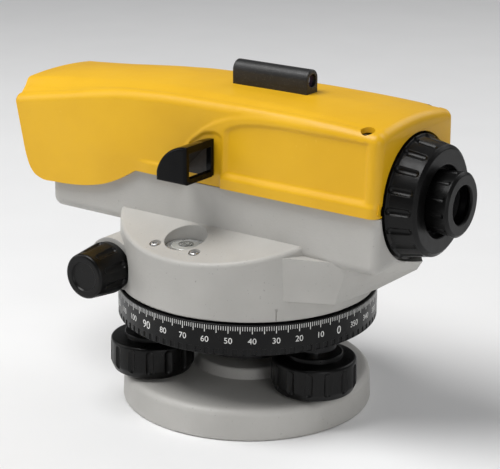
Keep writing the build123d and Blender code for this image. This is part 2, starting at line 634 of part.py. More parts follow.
def make_top_cover():
    outer = make_cover_outer()
    inner_side = side_extrusion(cover_side_outline(COVER_WALL), 40)
    plan = skirt_plan(SKIRT_FRONT_Y - COVER_WALL, SKIRT_REAR_Y - COVER_WALL, 85, 145)
    inner = inner_side & plan & block(-120, 120, -40, 40, SEAM_Z + GASKET - 0.1, 145)
    inner += roof(COVER_WALL) & block(-120, COVER_REAR_X - COVER_WALL, -40, 40, 100, 150)
    chamber = inner & block(FRONT_WALL_X1, 120, -40, 40, 80, 145)
    hood_space = inner + block(-120, -80, -29.9, 29.9, 80, 122)
    hood_space = hood_space & block(-120, FRONT_WALL_X0, -40, 40, 80, 145)
    cover = outer - chamber - hood_space
    cover -= block(-95, 90, -BODY_HALF_Y - 0.15, BODY_HALF_Y + 0.15, 70, SEAM_Z + GASKET)
    cover -= bar(24.6, BODY_X0 - 3, -80)
    cover -= bar(RING_POCKET_R, 78, 90)
    for x, y in cover_screw_places():
        cover += post(PILLAR_R, PILLAR_TOP_Z, COVER_SCREW_Z + 0.5, x, y)
        cover -= post(COVER_SCREW_R + 0.5, COVER_SCREW_Z, 150, x, y)
        cover -= post(1.25, 130, 150, x, y)
    cover -= block(SIGHT_X0, SIGHT_X1, -4.3, 4.3, SIGHT_SEAT_Z, 150)
    cover -= Pos(DIMPLE_X, 0, 146.8) * Sphere(4.2)
    cover -= side_patch(panel_outline(), SKIRT_REAR_Y + PANEL_FRAME_DEPTH - PANEL_DEPTH, 40)
    keep("top_cover", cover)

    screws = [Pos(x, y, COVER_SCREW_Z) * screw(COVER_SCREW_R, 1.8, 1.25, 13) for x, y in cover_screw_places()]
    keep("cover_screws", Compound(children=screws))

    rim = block(BODY_X0 + 2, BODY_X1 - 8, -BODY_HALF_Y + 0.4, BODY_HALF_Y - 0.4, SEAM_Z, SEAM_Z + GASKET)
    rim -= block(BODY_X0 + 6, BODY_X1 - 11, -27.2, 27.2, SEAM_Z - 1, SEAM_Z + 2)
    rim -= bar(24.6, -95, -70)
    rim -= bar(20, 55, 90)
    for x, y in cover_screw_places():
        rim -= post(PILLAR_R + 0.1, SEAM_Z - 1, SEAM_Z + 2, x, y)
    keep("cover_gasket", rim)
    return outer


def cover_screw_places():
    return [(COVER_SCREW_X, side * COVER_SCREW_Y) for side in (-1, 1)]


# ---------------------------------------------------------------- bar sight
def make_bar_sight():
    half, rise = 4.3, 6.0
    x0, x1 = SIGHT_X0, SIGHT_X1
    axis_z = SIGHT_SEAT_Z + rise
    body = block(x0, x1, -half, half, SIGHT_SEAT_Z, axis_z) + bar(half, x0, x1, 0, axis_z)
    body = fillet(body.edges().filter_by(GeomType.CIRCLE), 0.5)
    bore_z = axis_z - 0.4
    body -= bar(2.9, x0 - 1, x1 + 1, 0, bore_z)
    keep("bar_sight", body)
    rear = bar(2.9, x1 - 3.0, x1 - 1.6, 0, bore_z)
    front = bar(2.9, x0 + 1.2, x0 + 2.4, 0, bore_z)
    keep("bar_sight_lenses", Compound(children=[rear, front]))


# ---------------------------------------------------------------- objective and focusing lens
def make_objective():
    cell = tube_x(19.5, 17.0, BODY_X0, -74) + tube_x(24.5, 17.0, BODY_X0 - 2.5, BODY_X0)
    cell -= bar(18.2, BODY_X0 - 3, BODY_X0 - 1.5)
    keep("objective_cell", cell)
    crown = along_x(turned([(0, 0), (17, 1.4), (17, 5), (0, 6.2)]), -87.5)
    flint = along_x(turned([(0, 6.3), (17, 5.1), (17, 8.6), (0, 8.0)]), -87.5)
    keep("objective_crown_lens", crown)
    keep("objective_flint_lens", flint)
    keep("objective_retaining_ring", tube_x(17, 15.2, BODY_X0 - 1.5, -86.3))


def make_focusing():
    """The focusing lens slides along the line of sight, pushed by a rod that the ring's cam drives."""
    carrier = tube_x(15.5, 11.0, -44, -32)
    carrier += block(-44, -32, 14.0, 24.5, SIGHT_Z - 3, SIGHT_Z + 3) - bar(14.5, -45, -31)
    carrier -= bar(2.0, -50, -20, FOCUS_ROD_Y)
    keep("focusing_lens_carrier", carrier)
    keep("focusing_lens", along_x(turned([(0, 1.8), (11, 0.4), (11, 5.6), (0, 4.2)]), -41))
    keep("focus_push_rod", bar(2.0, -44, 63, FOCUS_ROD_Y))

    guide = ring_guide()
    keep("focus_guide", guide)

    ring = turned(
        [
            (BARREL_R + RUN_GAP, 0),
            (FOCUS_RING_R - 0.4, 0),
            (FOCUS_RING_R, 4.6),
            (FOCUS_RING_R - 1.1, 5.2),
            (FOCUS_RING_TIP_R + 0.6, FOCUS_X1 - FOCUS_X0 - 1.2),
            (FOCUS_RING_TIP_R - 1.0, FOCUS_X1 - FOCUS_X0),
            (DIOPTRE_R + 1.6, FOCUS_X1 - FOCUS_X0),
            (DIOPTRE_R + 1.6, FOCUS_X1 - FOCUS_X0 - 4.4),
            (BARREL_R + RUN_GAP, FOCUS_X1 - FOCUS_X0 - 4.4),
        ],
        radii=((1, 0.6), (2, 0.4), (5, 0.8), (6, 0.5)),
    )
    recess = Pos(FOCUS_RING_R + 0.7, 0, 0) * Rot(0, -9, 0) * grip_recess(2.1, 4.4, 15.4)
    ring -= around_z(recess, 18, 10)
    ring -= post(19.0, -1, 0.6) - post(BARREL_R, -1, 1)
    cam = ring_z(19.0, BARREL_R + RUN_GAP, -10.4, 0.6)
    keep("focus_ring", along_x(ring, FOCUS_X0))
    keep("focus_cam_sleeve", along_x(cam, FOCUS_X0))


def ring_guide():
    """A saddle on the chamber's floor with the bore in which the focusing lens slides."""
    saddle = tube_x(18.2, 15.5 + RUN_GAP, -50, -26)
    saddle += block(-50, -26, -10, 10, CHAMBER_Z, SIGHT_Z - 12)
    saddle -= bar(15.5 + RUN_GAP, -51, -25)
    return saddle - block(-51, -25, 8, 30, SIGHT_Z - 4, SIGHT_Z + 4)


# ---------------------------------------------------------------- compensator
def make_compensator():
    """A gravity pendulum on crossed tapes keeps the line of sight level."""
    x0, x1 = 18.0, 52.0
    frame = block(x0, x1, -19, 19, CHAMBER_Z, CHAMBER_Z + 3)
    for x in (x0, x1 - 3):
        frame += block(x, x + 3, -19, 19, CHAMBER_Z, 134)
    frame -= bar(12.5, x0 - 1, x1 + 1)
    frame += block(x0, x1, -3, 3, 131, 134)
    frame += block(x0, x1, -19, -16, 131, 134) + block(x0, x1, 16, 19, 131, 134)
    for x in TAPE_X:
        frame += block(x - 1, x + 1, -19, 19, 131, 134)
    keep("compensator_frame", frame)
    keep("fixed_prism", prism_block(x0 + 3.8, x0 + 9.0, 11, -2))
    keep("fixed_prism_holder", block(x0 + 3, x0 + 9, -11, 11, 93, 96.6))

    body = block(29, 41, -12, 12, 94, 98) + block(29, 41, -12, 12, 116, 119)
    body += block(29, 41, -12, -9.5, 94, 119) + block(29, 41, 9.5, 12, 94, 119)
    body += post(5.0, 88, 94.5, 35, 0)
    keep("pendulum", body)
    keep("pendulum_prism", prism_block(29.75, 39.75, 9.4, 2) & block(29, 41, -9.4, 9.4, 98, 116))
    tapes = []
    for x in TAPE_X:
        for side in (-1, 1):
            tapes.append(Pos(x, side * 10.7, 124.9) * Box(0.4, 1.6, 11.8))
    keep("suspension_tapes", Compound(children=tapes))
    damper = ring_z(8, 6.0, CHAMBER_Z + 3, 93, 35, 0) + post(8, CHAMBER_Z + 3, CHAMBER_Z + 4.5, 35, 0)
    keep("damper_cylinder", damper)


def prism_block(x0, x1, half_y, lean):
    """A glass block with its two faces leaning the same way."""
    z0, z1 = 97.0, 117.0
    outline = [(x0, z0), (x1, z0), (x1 + lean / 4, z1), (x0 + lean / 4, z1)]
    return profile_xz(outline, -half_y, half_y)


# ---------------------------------------------------------------- eyepiece
def make_eyepiece():
    barrel = tube_x(BARREL_R, BARREL_BORE_R, 57, 92) + tube_x(11.6, BARREL_BORE_R, 92, 94.5)
    barrel += tube_x(16.5, BARREL_R - 0.5, 66, 68)
    keep("eyepiece_barrel", barrel)
    keep("reticle_holder", tube_x(BARREL_BORE_R, 7.6, 58.5, 62))
    keep("reticle", bar(7.6, 59.5, 61))

    cell = tube_x(BARREL_BORE_R - RUN_GAP, EYE_OPENING_R + 0.6, 76, 99)
    keep("eyepiece_cell", cell)
    eye = along_x(turned([(0, 0), (EYE_OPENING_R + 0.6, 0.6), (EYE_OPENING_R + 0.6, 3.4), (0, 5.2)]), 92.5)
    field = along_x(turned([(0, 0), (EYE_OPENING_R + 0.6, 1.8), (EYE_OPENING_R + 0.6, 3.8), (0, 3.8)]), 78.5)
    keep("eyepiece_lenses", Compound(children=[eye, field]))

    length = DIOPTRE_X1 - FOCUS_X1 + 2.4
    ring = turned(
        [
            (11.6 + RUN_GAP, -1.4),
            (DIOPTRE_R - 0.8, -1.4),
            (DIOPTRE_R - 0.8, 2.2),
            (DIOPTRE_R, length - 1.0),
            (DIOPTRE_R - 1.2, length),
            (EYE_OPENING_R + 0.4, length),
            (EYE_OPENING_R, length - 1.2),
            (BARREL_BORE_R + 0.1, length - 3.6),
            (BARREL_BORE_R + 0.1, 0.2),
            (11.6 + RUN_GAP, 0.2),
        ],
        radii=((3, 0.6), (4, 0.6), (5, 0.4)),
    )
    recess = Pos(DIOPTRE_R + 0.75, 0, 0) * grip_recess(1.5, 2.0, length - 1.4)
    ring -= around_z(recess, 12, 8)
    keep("dioptre_ring", along_x(ring, FOCUS_X1 - 2.4))


def write_parts():
    os.makedirs("parts", exist_ok=True)
    for name, shape in PARTS.items():
        export_step(shape, f"parts/{name}.step")


make_base()
make_spring_plate()
make_foot_screws()
make_tribrach()
make_circle()
make_clutch_wheel()
make_slow_motion()
make_housing()
make_vertical_spindle()
make_drive_cover()
make_bubble()
make_bubble_mirror(make_top_cover())
make_bar_sight()
make_objective()
make_focusing()
make_compensator()
make_eyepiece()
write_parts()
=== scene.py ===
import math

import bmesh
import bpy
import numpy as np
from mathutils import Matrix, Vector


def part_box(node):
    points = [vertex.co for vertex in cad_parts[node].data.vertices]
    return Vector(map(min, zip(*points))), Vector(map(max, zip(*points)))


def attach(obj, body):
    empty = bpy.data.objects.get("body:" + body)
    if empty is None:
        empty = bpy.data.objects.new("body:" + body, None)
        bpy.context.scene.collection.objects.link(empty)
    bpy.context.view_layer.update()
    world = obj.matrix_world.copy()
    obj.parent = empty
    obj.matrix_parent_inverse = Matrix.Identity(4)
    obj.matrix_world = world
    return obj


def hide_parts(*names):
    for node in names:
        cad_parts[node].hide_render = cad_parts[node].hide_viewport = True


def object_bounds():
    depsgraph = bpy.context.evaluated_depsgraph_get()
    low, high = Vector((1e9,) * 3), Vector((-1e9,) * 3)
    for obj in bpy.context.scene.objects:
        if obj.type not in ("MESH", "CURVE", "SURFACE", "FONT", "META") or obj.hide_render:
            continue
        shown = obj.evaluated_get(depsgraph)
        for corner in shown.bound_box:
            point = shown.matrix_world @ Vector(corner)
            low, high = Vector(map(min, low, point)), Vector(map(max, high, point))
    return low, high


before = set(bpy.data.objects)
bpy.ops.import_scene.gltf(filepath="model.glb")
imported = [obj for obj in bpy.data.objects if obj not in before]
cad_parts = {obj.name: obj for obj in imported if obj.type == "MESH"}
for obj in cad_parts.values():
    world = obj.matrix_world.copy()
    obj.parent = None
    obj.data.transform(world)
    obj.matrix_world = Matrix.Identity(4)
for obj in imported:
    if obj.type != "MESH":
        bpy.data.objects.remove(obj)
cad_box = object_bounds()

MM = 0.001


# ---------------------------------------------------------------- sizes, all in millimetres
def box_mm(node):
    """A CAD node's box as low and high corners in millimetres."""
    low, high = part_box(node)
    return np.array(low) / MM, np.array(high) / MM


COVER_LOW, _ = box_mm("top_cover")
_, CIRCLE_HIGH = box_mm("horizontal_circle")
VIAL_LOW, VIAL_HIGH = box_mm("bubble_vial")
FOCUS_LOW, FOCUS_HIGH = box_mm("focus_ring")
SCREW_LOW, SCREW_HIGH = box_mm("cover_screws")

SIGHT_LINE_Z = (FOCUS_LOW[2] + FOCUS_HIGH[2]) / 2
SEAM_Z = 105.1  # where the cover meets the housing
REAR_X = 84.1
FRONT_X = -107.8  # front edge of the hood's sides
ROOF_FRONT_X = COVER_LOW[0]  # the roof's lip stands a little further forward
SHOULDER_R = 4.0  # rounding between roof and side
REAR_R = 4.0  # rounding of the rear corner
SHELL = 2.2
FOCUS_POCKET_R = 27.3
OBJECTIVE_HOLE_R = 24.7
BEAD_TOP_Z = 110.4
BEAD_HALF_WIDTH = 32.3
GROOVE_Y = 26.0


# ---------------------------------------------------------------- mesh helpers
def new_object(name, verts, faces, smooth=True):
    mesh = bpy.data.meshes.new(name)
    mesh.from_pydata([tuple(v) for v in verts], [], faces)
    mesh.validate()
    mesh.update()
    if smooth:
        mesh.polygons.foreach_set("use_smooth", [True] * len(mesh.polygons))
    piece = bpy.data.objects.new(name, mesh)
    bpy.context.scene.collection.objects.link(piece)
    return piece


def apply_modifiers(piece):
    """Replace a piece's mesh with the result of its modifiers."""
    graph = bpy.context.evaluated_depsgraph_get()
    mesh = bpy.data.meshes.new_from_object(piece.evaluated_get(graph))
    piece.modifiers.clear()
    piece.data = mesh


def sharpen(piece, degrees=35):
    """Smooth shading, with edges over the given angle left sharp."""
    mesh = piece.data
    limit = math.radians(degrees)
    bm = bmesh.new()
    bm.from_mesh(mesh)
    for face in bm.faces:
        face.smooth = True
    for edge in bm.edges:
        edge.smooth = not (edge.is_manifold and edge.calc_face_angle(0) > limit)
    bm.to_mesh(mesh)
    bm.free()


def cylinder_between(name, radius, start, end, count=96):
    """A closed cylinder between two points, in millimetres, used as a cutter."""
    start, end = Vector(start), Vector(end)
    axis = (end - start).normalized()
    side = axis.orthogonal().normalized()
    other = axis.cross(side)
    verts = []
    for centre in (start, end):
        for i in range(count):
            turn = 2 * math.pi * i / count
            verts.append((centre + radius * (math.cos(turn) * side + math.sin(turn) * other)) * MM)
    faces = [(i, (i + 1) % count, count + (i + 1) % count, count + i) for i in range(count)]
    faces += [tuple(reversed(range(count))), tuple(range(count, 2 * count))]
    return new_object(name, verts, faces, smooth=False)


def lathe(name, points, centre=(0, 0, 0), count=72):
    """A closed solid of revolution about Z from (radius, height) points, in millimetres."""
    verts, faces = [], []
    for r, z in points:
        for i in range(count):
            turn = 2 * math.pi * i / count
            place = (centre[0] + r * math.cos(turn), centre[1] + r * math.sin(turn), centre[2] + z)
            verts.append(Vector(place) * MM)
    rings = len(points)
    for k in range(rings):
        a, b = k * count, ((k + 1) % rings) * count
        for i in range(count):
            j = (i + 1) % count
            faces.append((a + i, a + j, b + j, b + i))
    piece = new_object(name, verts, faces)
    bm = bmesh.new()
    bm.from_mesh(piece.data)
    bmesh.ops.remove_doubles(bm, verts=bm.verts, dist=1e-7)
    bmesh.ops.recalc_face_normals(bm, faces=bm.faces)
    bm.to_mesh(piece.data)
    bm.free()
    return piece


def cut(piece, cutters):
    """Subtract closed cutters from a piece and delete them."""
    for cutter in cutters:
        boolean = piece.modifiers.new("cut", "BOOLEAN")
        boolean.operation = "DIFFERENCE"
        boolean.solver = "MANIFOLD"
        boolean.object = cutter
    apply_modifiers(piece)
    for cutter in cutters:
        bpy.data.objects.remove(cutter)


def step(value, low, high):
    """Smooth 0 to 1 as value goes from low to high."""
    t = np.clip((value - low) / (high - low), 0, 1)
    return t * t * (3 - 2 * t)


def curve_through(x, xs, ys):
    """A smooth curve through points, as a cubic Hermite spline."""
    xs, ys = np.array(xs, float), np.array(ys, float)
    slopes = np.gradient(ys, xs)
    i = np.clip(np.searchsorted(xs, x) - 1, 0, len(xs) - 2)
    width = xs[i + 1] - xs[i]
    t = np.clip((x - xs[i]) / width, 0, 1)
    h00, h10 = 2 * t**3 - 3 * t**2 + 1, t**3 - 2 * t**2 + t
    h01, h11 = -2 * t**3 + 3 * t**2, t**3 - t**2
    return h00 * ys[i] + h10 * width * slopes[i] + h01 * ys[i + 1] + h11 * width * slopes[i + 1]


# ---------------------------------------------------------------- the yellow top cover
# columns: x, centre height, crease half width, crease height, groove height, shoulder height
ROOF = np.array(
    (
        (-108.8, 137.2, 22.0, 136.0, 132.4, 129.0),
        (-95.0, 138.9, 19.5, 137.5, 133.9, 131.9),
        (-80.0, 140.5, 18.3, 138.9, 135.9, 134.5),
        (-65.0, 142.0, 18.0, 140.4, 138.1, 137.2),
        (-50.0, 143.1, 18.0, 141.7, 139.9, 139.4),
        (-30.0, 143.7, 18.5, 142.6, 141.0, 140.8),
        (0.0, 143.7, 20.3, 142.8, 141.4, 141.3),
        (30.0, 143.7, 22.0, 142.7, 141.5, 141.2),
        (55.0, 143.1, 22.8, 141.8, 141.0, 140.7),
        (70.0, 142.6, 23.3, 140.9, 140.3, 139.9),
        (84.1, 141.8, 23.8, 139.7, 139.1, 138.6),
    )
)
# (x, z) points of three edges that the side carries, and of the hood's lower edge
BOTTOM_EDGE = (
    (-107.8, 126.5), (-106.6, 120.5), (-104.8, 112.0), (-103.2, 104.5), (-101.2, 98.4),
    (-98.6, 94.6), (-94.6, 92.5), (-85.0, 92.1), (-75.0, 92.6), (-65.3, 93.9),
    (-56.0, 96.2), (-47.7, 99.7), (-38.5, 105.1),
)
FIELD_EDGE = (
    (-26, 106), (-17, 113), (-9.7, 123.5), (-3, 129.4), (3.6, 133.4), (12, 136.5), (21, 138.2), (33, 139.0),
)
PANEL_EDGE = (
    (9.2, 129.8), (12, 131.8), (16, 133.2), (21, 134.2), (28, 134.9), (38, 135.4), (55, 135.4),
)
POCKET_EDGE = (
    (-15, 109), (-12, 117), (-8, 123.6), (-2, 127.6), (4, 128.6), (6.5, 127.6), (9, 124),
)
FIELD_RISE = 0.55
PANEL_DEPTH = 0.95
POCKET_DEPTH = 0.8


def edge_height(x, edge):
    """Height of one of the edges above at x."""
    xs, zs = zip(*edge)
    return np.interp(x, xs, zs)


def side_width(x, z):
    """Half width of the cover's side: flared hood, raised field, sunk panel, mirror pocket, bead."""
    width = 32.4 - 1.5 * step(x, -62, -4)
    width = width - 0.035 * np.clip(z - 112, 0, 30) * step(x, -90, -40)
    raised = step(edge_height(x, FIELD_EDGE) - z, -0.8, 1.6) * step(x, -30, -14)
    width = width + FIELD_RISE * raised
    panel = step(edge_height(x, PANEL_EDGE) - z, -0.5, 0.9) * step(z, 110.8, 112.4)
    panel = panel * step(x, 8.6, 10.2) * step(-x, -79.3, -77.6)
    width = width - PANEL_DEPTH * panel
    pocket = step(edge_height(x, POCKET_EDGE) - z, -0.6, 0.9)
    pocket = pocket * step(x, -15.5, -13.5) * step(-x, -8.0, -6.4)
    width = width - POCKET_DEPTH * pocket
    bead = step(BEAD_TOP_Z - z, -0.7, 0.9) * step(x, -40, -30) * (1 - pocket)
    return width + (BEAD_HALF_WIDTH - width) * bead


def roof_height(x, y):
    """Height of the roof over one section: crown, crease, groove and shoulder, softened a little."""
    values = [curve_through(x, ROOF[:, 0], ROOF[:, k]) for k in range(1, 6)]
    centre, crease_y, crease_z, groove, shoulder = values
    grid = np.arange(-32, 32.01, 0.25)
    a = np.abs(grid)
    crown = centre - (centre - crease_z) * (a / crease_y) ** 2
    t = np.clip((a - crease_y) / (GROOVE_Y - crease_y), 0, 1)
    flank = crease_z + (groove - crease_z) * (0.55 * t + 0.45 * t * t * (3 - 2 * t))
    outside = groove + (shoulder - groove) * step(a, GROOVE_Y, GROOVE_Y + 3)
    height = np.where(a < crease_y, crown, np.where(a < GROOVE_Y, flank, outside))
    height = height - 0.32 * np.exp(-(((a - GROOVE_Y) / 0.8) ** 2))
    kernel = np.exp(-((np.arange(-8, 9) * 0.25 / 0.75) ** 2) / 2)
    padded = np.pad(height, 8, mode="edge")
    height = np.convolve(padded, kernel / kernel.sum(), mode="valid")
    return np.interp(y, grid, height)


def half_section(x, inset=0.0):
    """One half of a section, from the roof's centre line to the cover's lower edge, as (y, z) rows."""
    edge_xs, edge_zs = zip(*BOTTOM_EDGE)
    bottom = float(curve_through(x, edge_xs, edge_zs)) if x < edge_xs[-1] else SEAM_Z
    top_width = float(side_width(x, 136.0))
    start_y = top_width - SHOULDER_R
    ys = np.linspace(0, start_y, 48)
    rows = [(y, z) for y, z in zip(ys, roof_height(x, ys))]
    edge_z = rows[-1][1]
    fall = min(SHOULDER_R, edge_z - bottom - 0.05)
    for k in range(1, 9):
        turn = math.pi / 2 * k / 8
        z = edge_z - fall * (1 - math.cos(turn))
        y = start_y + SHOULDER_R * math.sin(turn) + (float(side_width(x, z)) - top_width) * k / 8
        rows.append((y, z))
    for z in np.linspace(edge_z - fall, bottom, 50)[1:]:
        rows.append((float(side_width(x, z)), z))
    rows = np.array(rows)
    if inset:
        along = np.gradient(rows, axis=0)
        normal = np.stack([along[:, 1], -along[:, 0]], 1)
        normal /= np.linalg.norm(normal, axis=1)[:, None]
        keep_bottom = rows[-1, 1]
        rows = rows + normal * inset
        rows[:, 0] = np.maximum(rows[:, 0], np.linspace(0, 1e-3, len(rows)))
        rows[-1, 1] = keep_bottom
    return rows


def cover_columns():
    """Where the sections stand along X, with the rear corner's rounding as (x, inset) pairs."""
    near_front = FRONT_X + 6 * (np.linspace(0, 1, 22) ** 1.6)
    body = np.linspace(FRONT_X + 6, REAR_X - REAR_R, 210)[1:]
    columns = [(x, 0.0) for x in near_front] + [(x, 0.0) for x in body]
    for k in range(1, 9):
        turn = math.pi / 2 * k / 8
        columns.append((REAR_X - REAR_R + REAR_R * math.sin(turn), REAR_R * (1 - math.cos(turn))))
    return columns


def make_cover():
    verts, faces, count = [], [], 0
    for x, inset in cover_columns():
        half = half_section(min(x, REAR_X - REAR_R), inset)
        section = np.concatenate([half[::-1] * (-1, 1), half[1:]])
        forward = (FRONT_X - ROOF_FRONT_X) * step(-x, -FRONT_X - 4, -FRONT_X)
        lip = forward * step(-np.abs(section[:, 0]), -26.5, -22.5)
        verts += [((x - d) * MM, y * MM, z * MM) for (y, z), d in zip(section, lip)]
        count = len(section)
    columns = len(verts) // count
    for c in range(columns - 1):
        a, b = c * count, (c + 1) * count
        faces += [(a + r, a + r + 1, b + r + 1, b + r) for r in range(count - 1)]
    last = (columns - 1) * count
    middle = count // 2
    for r in range(middle):
        left, right = last + middle - r, last + middle + r
        if r == 0:
            faces.append((left, right + 1, left - 1))
        else:
            faces.append((left, right, right + 1, left - 1))
    cover = new_object("top_cover_shell", verts, faces)
    bm = bmesh.new()
    bm.from_mesh(cover.data)
    bmesh.ops.recalc_face_normals(bm, faces=bm.faces)
    top = max(bm.faces, key=lambda f: f.calc_center_median().z)
    if top.normal.z < 0:
        bmesh.ops.reverse_faces(bm, faces=bm.faces)
    bm.to_mesh(cover.data)
    bm.free()
    solidify = cover.modifiers.new("shell", "SOLIDIFY")
    solidify.thickness = SHELL * MM
    solidify.offset = -1
    solidify.use_even_offset = False
    apply_modifiers(cover)
    for vertex in cover.data.vertices:
        vertex.co.x = min(max(vertex.co.x, ROOF_FRONT_X * MM), REAR_X * MM)

    axis = SIGHT_LINE_Z
    cutters = [cylinder_between("pocket", FOCUS_POCKET_R, (77, 0, axis), (90, 0, axis), 160)]
    screw_x = (SCREW_LOW[0] + SCREW_HIGH[0]) / 2
    screw_head_r, recess_r = 2.2, 2.9
    for side in (-1, 1):
        y = side * (SCREW_HIGH[1] - screw_head_r)
        floor_z = SCREW_HIGH[2] - 2.2
        cutters.append(cylinder_between("recess", recess_r, (screw_x, y, floor_z), (screw_x, y, 150), 40))
    cut(cover, cutters)
    sharpen(cover, 40)
    return cover


def make_front_wall():
    """The cover's bulkhead behind the hood, with the hole that the objective's collar fills."""
    x0, x1 = -86.5, -84.0
    half = half_section(x0, SHELL * 0.8)
    half = half[half[:, 1] > SEAM_Z - 3]
    section = np.concatenate([half[::-1] * (-1, 1), half[1:]])
    count = len(section)
    verts = [(x * MM, y * MM, z * MM) for x in (x0, x1) for y, z in section]
    faces = [(r, (r + 1) % count, count + (r + 1) % count, count + r) for r in range(count)]
    faces += [tuple(reversed(range(count))), tuple(range(count, 2 * count))]
    wall = new_object("cover_front_wall", verts, faces, smooth=False)
    bm = bmesh.new()
    bm.from_mesh(wall.data)
    bmesh.ops.recalc_face_normals(bm, faces=bm.faces)
    bm.to_mesh(wall.data)
    bm.free()
    start, end = (x0 - 2, 0, SIGHT_LINE_Z), (x1 + 2, 0, SIGHT_LINE_Z)
    cut(wall, [cylinder_between("hole", OBJECTIVE_HOLE_R, start, end)])
    sharpen(wall)
    return wall


# ---------------------------------------------------------------- circle graduations and numbers
CIRCLE_R = CIRCLE_HIGH[0]
MARK_PROUD = 0.03
ZERO_ANGLE = -12.9  # where the circle's zero stands at rest, in degrees
TICK_TOP_Z = 53.2
LONG_TICK = (50.0, 0.16)  # foot height and half width
SHORT_TICK = (51.3, 0.12)
BIG_NUMBER = (5.0, 44.9)  # letter size and foot height, at the four quarter turns
SMALL_NUMBER = (3.7, 45.5)


def around(radius, degrees, z):
    turn = math.radians(degrees)
    return (radius * math.cos(turn) * MM, radius * math.sin(turn) * MM, z * MM)


def make_graduations():
    """Degree ticks as thin closed inlays around the circle, longer at every fifth degree."""
    verts, faces = [], []
    for degree in range(360):
        low, half_width = SHORT_TICK if degree % 5 else LONG_TICK
        half = math.degrees(half_width / CIRCLE_R)
        angle = ZERO_ANGLE - degree
        first = len(verts)
        for radius in (CIRCLE_R - 0.05, CIRCLE_R + MARK_PROUD):
            for a, z in ((-half, low), (half, low), (half, TICK_TOP_Z), (-half, TICK_TOP_Z)):
                verts.append(around(radius, angle + a, z))
        quads = ((0, 3, 2, 1), (4, 5, 6, 7), (0, 1, 5, 4), (1, 2, 6, 5), (2, 3, 7, 6), (3, 0, 4, 7))
        faces += [tuple(first + i for i in quad) for quad in quads]
    return new_object("circle_graduations", verts, faces, smooth=False)


def make_numbers():
    """The circle's degree numbers, as text made solid and wrapped round the cylinder."""
    verts, faces = [], []
    graph = bpy.context.evaluated_depsgraph_get()
    for degree in range(0, 360, 10):
        text = bpy.data.curves.new("number", "FONT")
        text.body = str(degree)
        text.align_x = "CENTER"
        text.size, low = SMALL_NUMBER if degree % 90 else BIG_NUMBER
        text.extrude = 0.04
        text.resolution_u = 6
        holder = bpy.data.objects.new("number", text)
        bpy.context.scene.collection.objects.link(holder)
        graph.update()
        mesh = bpy.data.meshes.new_from_object(holder.evaluated_get(graph))
        first = len(verts)
        for vertex in mesh.vertices:
            x, y, z = vertex.co
            angle = ZERO_ANGLE - degree + math.degrees(x / CIRCLE_R)
            verts.append(around(CIRCLE_R + z, angle, low + y))
        faces += [tuple(first + i for i in polygon.vertices) for polygon in mesh.polygons]
        bpy.data.objects.remove(holder)
        bpy.data.curves.remove(text)
        bpy.data.meshes.remove(mesh)
    numbers = new_object("circle_numbers", verts, faces, smooth=False)
    bm = bmesh.new()
    bm.from_mesh(numbers.data)
    bmesh.ops.remove_doubles(bm, verts=bm.verts, dist=1e-7)
    bm.to_mesh(numbers.data)
    bm.free()
    return numbers


# ---------------------------------------------------------------- bubble
VIAL_X, VIAL_Y = (VIAL_LOW[0] + VIAL_HIGH[0]) / 2, (VIAL_LOW[1] + VIAL_HIGH[1]) / 2


def make_bubble_ring():
    """The painted ring that the bubble is brought into, flush with the vial's top."""
    inner, outer, thick = 2.95, 3.25, 0.08
    points = [(inner, 0.0), (outer, 0.0), (outer, thick), (inner, thick)]
    return lathe("bubble_target_ring", points, (VIAL_X, VIAL_Y, VIAL_HIGH[2] - thick))


def make_bubble_air():
    """The bubble, a low dome a little off the ring's centre."""
    radius, height, pole = 2.35, 0.3, 0.001
    points = [(pole, 0.0)]
    for k in range(9):
        turn = math.pi / 2 * k / 8
        points.append((radius * math.cos(turn) + pole, 0.05 + height * math.sin(turn)))
    return lathe("bubble_air", points, (VIAL_X + 0.25, VIAL_Y - 0.15, VIAL_HIGH[2] - 0.12))


# ---------------------------------------------------------------- painted shade plate in the mirror hood
def make_hood_lining():
    """A dark plate against the cover's side inside the mirror hood: painted shade for the dark inside seen
    through the hood's window.
    """
    low, high = box_mm("bubble_mirror_hood")
    radius = high[2] - low[2] - 1.8
    y0, y1 = -32.6, -31.9
    corner_x = high[0] - 2.6
    long, tall = radius - 2.6, radius - 1.0
    outline = [(corner_x, low[2])]
    for k in range(25):
        turn = math.pi / 2 * k / 24
        outline.append((corner_x - long * math.cos(turn), low[2] + tall * math.sin(turn)))
    count = len(outline)
    verts = [(x * MM, y * MM, z * MM) for y in (y0, y1) for x, z in outline]
    faces = [(r, (r + 1) % count, count + (r + 1) % count, count + r) for r in range(count)]
    faces += [tuple(reversed(range(count))), tuple(range(count, 2 * count))]
    shade_sheet = new_object("mirror_hood_painted_shade", verts, faces, smooth=False)
    bm = bmesh.new()
    bm.from_mesh(shade_sheet.data)
    bmesh.ops.recalc_face_normals(bm, faces=bm.faces)
    bm.to_mesh(shade_sheet.data)
    bm.free()
    return shade_sheet


